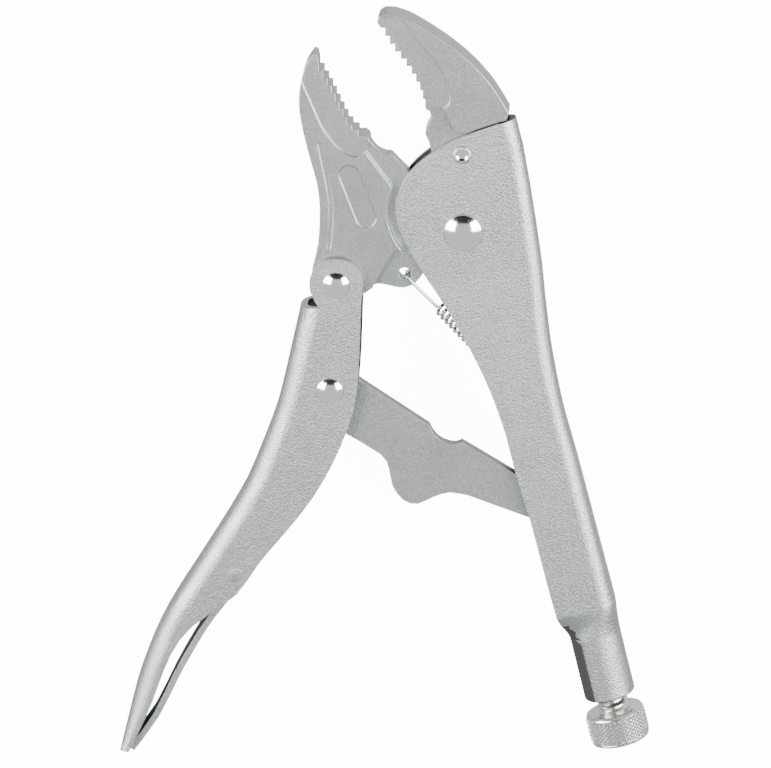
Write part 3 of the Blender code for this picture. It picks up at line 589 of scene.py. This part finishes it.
def bent_wire(path, radius):
    """A round rod along a smooth path."""
    clear_selection()
    bpy.ops.curve.primitive_nurbs_path_add()
    rod = bpy.context.object
    rod.location = (0, 0, 0)
    spline = rod.data.splines[0]
    spline.points.add(len(path) - len(spline.points))
    for point, place in zip(spline.points, path):
        point.co = (*place, 1.0)
    spline.order_u = 3
    spline.resolution_u = 5
    spline.use_endpoint_u = True
    rod.data.bevel_depth = radius
    rod.data.bevel_resolution = 4
    rod.data.use_fill_caps = True
    activate(rod)
    bpy.ops.object.convert(target="MESH")
    return bpy.context.object


def wound_coil(wire, coil, length, turns):
    """A close wound helix along Z with closed ends."""
    clear_selection()
    bpy.ops.mesh.primitive_circle_add(vertices=12, radius=wire, fill_type="NOTHING",
                                      location=(coil, 0, 0), rotation=(math.pi / 2, 0, 0))
    helix = bpy.context.object
    activate(helix)
    apply_place()
    apply_modifier(helix, "SCREW", axis="Z", angle=math.tau, screw_offset=length / turns,
                   iterations=turns, steps=24, render_steps=24, use_merge_vertices=False)
    close_ends(helix)
    return helix


class PLIERS_OT_spring(bpy.types.Operator):
    """Model the close wound return spring with its hook and loop."""
    bl_idname = "pliers.spring"
    bl_label = "Return spring"

    def execute(self, context):
        shape = context.scene.pliers_shape
        wire, coil = shape.wire_radius, shape.coil_radius
        hook, anchor = SPRING_HOLE, SPRING_ANCHOR
        along = (anchor - hook).normalized()
        side = Vector((-along.y, along.x, 0.0))
        up = Vector((0.0, 0.0, 1.0))
        start = 0.0153
        loop_r = 0.0023
        body = (anchor - hook).length - start - loop_r - 0.003
        helix = wound_coil(wire, coil, body, int(body / shape.coil_pitch))
        helix.matrix_world = Matrix((
            (*up, 0.0), (*side, 0.0), (*along, 0.0), (0.0, 0.0, 0.0, 1.0))).transposed()
        helix.location = hook + along * start

        def at(forward, rise, base=hook):
            return base + along * forward + up * rise

        over = 0.0028 + wire
        slant = up * coil * 0.97 + side * coil * 0.26
        hook_path = [at(0.0034, -over), at(0.0014, -over), at(0.0009, 0.0009 - over),
                     at(0.0008, 0.0), at(0.0008, over - 0.001), at(0.0011, over - 0.0002),
                     at(0.0016, over), at(0.0044, over), at(start - 0.0014, coil + 0.0003),
                     at(start - 0.0004, coil), hook + along * (start + 0.0001) + slant]
        end = hook + along * (start + body)
        slant = up * coil * 0.97 - side * coil * 0.26
        loop_path = [end + slant, end + up * coil, at(-loop_r - 0.0014, 0.0009, anchor)]
        for degrees in range(180, -121, -20):
            a = math.radians(degrees)
            loop_path.append(at(loop_r * math.cos(a), -loop_r * math.sin(a), anchor))
        parts = [helix, bent_wire(hook_path, wire), bent_wire(loop_path, wire)]
        for part in parts:
            activate(part)
            apply_place()
            face_outwards(part)
        piece = joined("return_spring_coil", parts)
        settle(piece, 50)
        dress(piece, None, "spring", finish("wire"), "return_spring")
        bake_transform(piece)
        return {"FINISHED"}


class PLIERS_OT_screw(bpy.types.Operator):
    """Model the adjusting screw with its thread."""
    bl_idname = "pliers.screw"
    bl_label = "Adjusting screw"

    def execute(self, context):
        pitch = context.scene.pliers_shape.thread_pitch
        low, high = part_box("adjusting_screw")
        outer = (high[0] - low[0]) / 2
        root = outer - pitch * 0.42
        nose_radius, nose_length = 0.0034, 0.005
        reach = high[1] - low[1] - 0.0035
        core = drum((SCREW_X, low[1] + reach / 2, MID), root, reach, "Y", bevel=0.0003)
        nose = drum((SCREW_X, high[1] - nose_length / 2, MID), nose_radius, nose_length, "Y",
                    bevel=0.0006)
        clear_selection()
        bpy.ops.mesh.primitive_circle_add(vertices=4, radius=pitch * 0.5, fill_type="NOTHING",
                                          location=(root, 0, 0), rotation=(math.pi / 2, 0, 0))
        ridge = bpy.context.object
        activate(ridge)
        apply_place()
        for vert in ridge.data.vertices:
            if vert.co.x > root + pitch * 0.3:
                vert.co.x = outer
            elif vert.co.x < root - pitch * 0.3:
                vert.co.x = root - pitch * 0.2
        turns = int((reach - 0.003) / pitch)
        apply_modifier(ridge, "SCREW", axis="Z", angle=math.tau, screw_offset=pitch,
                       iterations=turns, steps=40, render_steps=40)
        close_ends(ridge)
        ridge.rotation_euler = (math.pi / 2, 0, 0)
        ridge.location = (SCREW_X, low[1] + turns * pitch + 0.0008, MID)
        activate(ridge)
        apply_place()
        face_outwards(ridge)
        piece = joined("adjusting_screw_threaded", [core, nose, ridge])
        settle(piece, 25)
        dress(piece, "adjusting_screw", "screw", finish("thread"), "adjusting_screw")
        return {"FINISHED"}


def knurled_skin(count, valley, half, height):
    """A band of diamonds about Z, each raised to a point from narrow valleys."""
    rows = 6
    clear_selection()
    bpy.ops.mesh.primitive_cylinder_add(vertices=count, radius=valley, depth=half * 2,
                                        end_fill_type="NOTHING", location=(0, 0, 0))
    skin = bpy.context.object
    flat = skin.data
    select_none(skin)
    for line in flat.edges:
        a, b = (flat.vertices[i].co for i in line.vertices)
        line.select = abs(a.z - b.z) > 0.001
    edit_mode("EDGE")
    bpy.ops.mesh.subdivide(number_cuts=rows - 1)
    bpy.ops.mesh.select_all(action="SELECT")
    bpy.ops.mesh.select_mode(type="FACE")
    bpy.ops.mesh.poke(offset=0.0)
    object_mode()
    grid = {i for i, v in enumerate(flat.vertices) if abs(v.co.xy.length - valley) < 2e-6}
    select_none(skin)
    for line in flat.edges:
        on_rim = all(abs(abs(flat.vertices[i].co.z) - half) < 1e-6 for i in line.vertices)
        line.select = grid.issuperset(line.vertices) and not on_rim
    edit_mode("EDGE")
    bpy.ops.mesh.dissolve_edges(use_verts=False)
    bpy.ops.mesh.select_mode(type="FACE")
    bpy.ops.mesh.select_all(action="SELECT")
    bpy.ops.mesh.inset(thickness=0.00012, use_individual=True, use_even_offset=True,
                       use_boundary=False)
    bpy.ops.mesh.poke(offset=height)
    object_mode()
    return skin


class PLIERS_OT_knob(bpy.types.Operator):
    """Model the diamond knurled knob."""
    bl_idname = "pliers.knob"
    bl_label = "Knurled knob"

    def execute(self, context):
        shape = context.scene.pliers_shape
        low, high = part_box("knurled_knob")
        radius = (high[0] - low[0]) / 2
        depth = high[1] - low[1]
        rim = 0.0011
        half = depth / 2 - rim
        valley = radius - shape.knurl_depth
        skin = knurled_skin(shape.knurl_count, valley, half, shape.knurl_depth)
        shell = []
        for sign in (1, -1):
            clear_selection()
            bpy.ops.mesh.primitive_cone_add(vertices=96, radius1=radius - 0.0003,
                                            radius2=radius - 0.0011, depth=rim,
                                            location=(0, 0, 0))
            cone = bpy.context.object
            cone.location = (0, 0, sign * (half + rim / 2))
            if sign < 0:
                cone.rotation_euler = (math.pi, 0, 0)
            activate(cone)
            apply_place()
            apply_modifier(cone, "BEVEL", width=0.00025, segments=3, limit_method="ANGLE",
                           angle_limit=math.radians(20))
            shell.append(cone)
        core = drum((0, 0, 0), valley - 0.00004, depth - 0.0006, sides=96)
        piece = joined("knurled_knob_cut", [skin] + shell + [core])
        piece.rotation_euler = (math.pi / 2, 0, 0)
        piece.location = (SCREW_X, (low[1] + high[1]) / 2, MID)
        settle(piece, 18)
        dress(piece, "knurled_knob", "screw", finish("thread"), "knurled_knob")
        return {"FINISHED"}


# ---------------------------------------------------------------- stage

def pale_floor(height):
    """A plain pale floor that lights itself and stays out of the metal's reflections."""
    clear_selection()
    bpy.ops.mesh.primitive_plane_add(size=6.0, location=(0, 0, height))
    floor = bpy.context.object
    floor.name = "pale_floor"
    mat, _, shader = nodes_of("pale_paper")
    shader.inputs["Base Color"].default_value = (0.93, 0.93, 0.93, 1.0)
    shader.inputs["Roughness"].default_value = 0.9
    shader.inputs["Specular IOR Level"].default_value = 0.1
    shader.inputs["Emission Color"].default_value = (1.0, 1.0, 1.0, 1.0)
    shader.inputs["Emission Strength"].default_value = 12.0
    floor.data.materials.append(mat)
    floor.visible_glossy = False
    floor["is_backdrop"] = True


def cone_mask(tree, direction, start, full):
    """0 outside a cone about a direction and 1 well inside it, by the cosine."""
    place = tree.nodes.new("ShaderNodeTexCoord")
    dot = tree.nodes.new("ShaderNodeVectorMath")
    dot.operation = "DOT_PRODUCT"
    dot.inputs[1].default_value = direction
    tree.links.new(place.outputs["Generated"], dot.inputs[0])
    fade = add_node(tree, "ShaderNodeMapRange", From_Min=start, From_Max=full)
    fade.interpolation_type = "SMOOTHSTEP"
    tree.links.new(dot.outputs["Value"], fade.inputs["Value"])
    return fade.outputs["Result"]


def studio_world(scene, roll):
    """Even grey, brighter below the tool towards the jaws, with a dark band above them."""
    world = bpy.data.worlds.new("studio")
    scene.world = world
    world.use_nodes = True
    tree = world.node_tree
    ground = tree.nodes["Background"]
    ground.inputs["Strength"].default_value = 1.0
    grey, bright, dark = (0.74, 0.75, 0.76, 1.0), (1.30, 1.31, 1.31, 1.0), (0.03, 0.03, 0.03, 1.0)
    areas = [(bright, (0.45, 0.60, -0.66), 0.55, 0.90)]
    for sideways in (-0.24, 0.0, 0.24):
        areas.append((dark, Vector((sideways, 0.46, 0.87)).normalized(), 0.955, 0.980))
    shade = None
    for colour, direction, start, full in areas:
        mix = add_node(tree, "ShaderNodeMixRGB", Color1=grey, Color2=colour)
        if shade:
            tree.links.new(shade, mix.inputs["Color1"])
        tree.links.new(cone_mask(tree, roll @ Vector(direction), start, full), mix.inputs["Fac"])
        shade = mix.outputs["Color"]
    tree.links.new(shade, ground.inputs["Color"])


def side_panels(roll):
    """Two tall soft lights, left and right of the jaws."""
    for name, side in (("left_panel", -1), ("right_panel", 1)):
        clear_selection()
        place = roll @ Vector((side * 0.80, 0.20, 0.62)) + MIDDLE
        bpy.ops.object.light_add(type="AREA", location=place)
        lamp = bpy.context.object
        lamp.name = name
        lamp.data.shape = "RECTANGLE"
        lamp.data.size, lamp.data.size_y = 0.52, 1.2
        lamp.data.energy = 30.0
        lamp.rotation_mode = "QUATERNION"
        lamp.rotation_quaternion = (MIDDLE - lamp.location).to_track_quat("-Z", "Y")


def front_camera(scene, lens, distance):
    """The camera, turned to its own upward direction, without depth of field."""
    back = CAMERA_BACK.normalized()
    right = CAMERA_UP.cross(back).normalized()
    up = back.cross(right)
    clear_selection()
    bpy.ops.object.camera_add(location=MIDDLE + back * distance)
    camera = bpy.context.object
    camera.name = "front_camera"
    camera.rotation_mode = "QUATERNION"
    camera.rotation_quaternion = Matrix((right, up, back)).transposed().to_quaternion()
    camera.data.lens = lens
    camera.data.sensor_width = 36.0
    camera.data.clip_start = 0.05
    camera.data.clip_end = 20.0
    camera.data.dof.use_dof = False
    scene.camera = camera


class PLIERS_OT_stage(bpy.types.Operator):
    """Set up the floor, the soft lights and the camera."""
    bl_idname = "pliers.stage"
    bl_label = "Stage"

    def execute(self, context):
        stage = context.scene.pliers_stage
        roll = Matrix.Rotation(math.radians(-13.6155), 4, "Z")
        pale_floor(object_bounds()[0].z - stage.floor_drop)
        studio_world(context.scene, roll)
        side_panels(roll)
        front_camera(context.scene, stage.lens, stage.distance)
        return {"FINISHED"}


class PLIERS_PT_panel(bpy.types.Panel):
    """The settings and the building steps of the pliers."""
    bl_idname = "PLIERS_PT_panel"
    bl_label = "Locking pliers"
    bl_space_type = "VIEW_3D"
    bl_region_type = "UI"
    bl_category = "Pliers"

    def draw(self, context):
        layout = self.layout
        for name, kind in GROUPS:
            for key in kind.__annotations__:
                layout.prop(getattr(context.scene, name), key)
        for step in STEPS:
            layout.operator(step.bl_idname)


GROUPS = (("pliers_shape", PliersShape), ("pliers_finish", PliersFinish),
          ("pliers_stage", PliersStage))
STEPS = (PLIERS_OT_finishes, PLIERS_OT_handles, PLIERS_OT_jaws, PLIERS_OT_links,
         PLIERS_OT_rivets, PLIERS_OT_pins, PLIERS_OT_spring, PLIERS_OT_screw, PLIERS_OT_knob,
         PLIERS_OT_stage)


def register():
    for name, group in GROUPS:
        bpy.utils.register_class(group)
        setattr(bpy.types.Scene, name, PointerProperty(type=group))
    for step in STEPS:
        bpy.utils.register_class(step)
    bpy.utils.register_class(PLIERS_PT_panel)


def unregister():
    bpy.utils.unregister_class(PLIERS_PT_panel)
    for step in reversed(STEPS):
        bpy.utils.unregister_class(step)
    for name, group in reversed(GROUPS):
        delattr(bpy.types.Scene, name)
        bpy.utils.unregister_class(group)


def main():
    register()
    for step in STEPS:
        space, name = step.bl_idname.split(".")
        getattr(getattr(bpy.ops, space), name)()


if __name__ == "__main__":
    main()
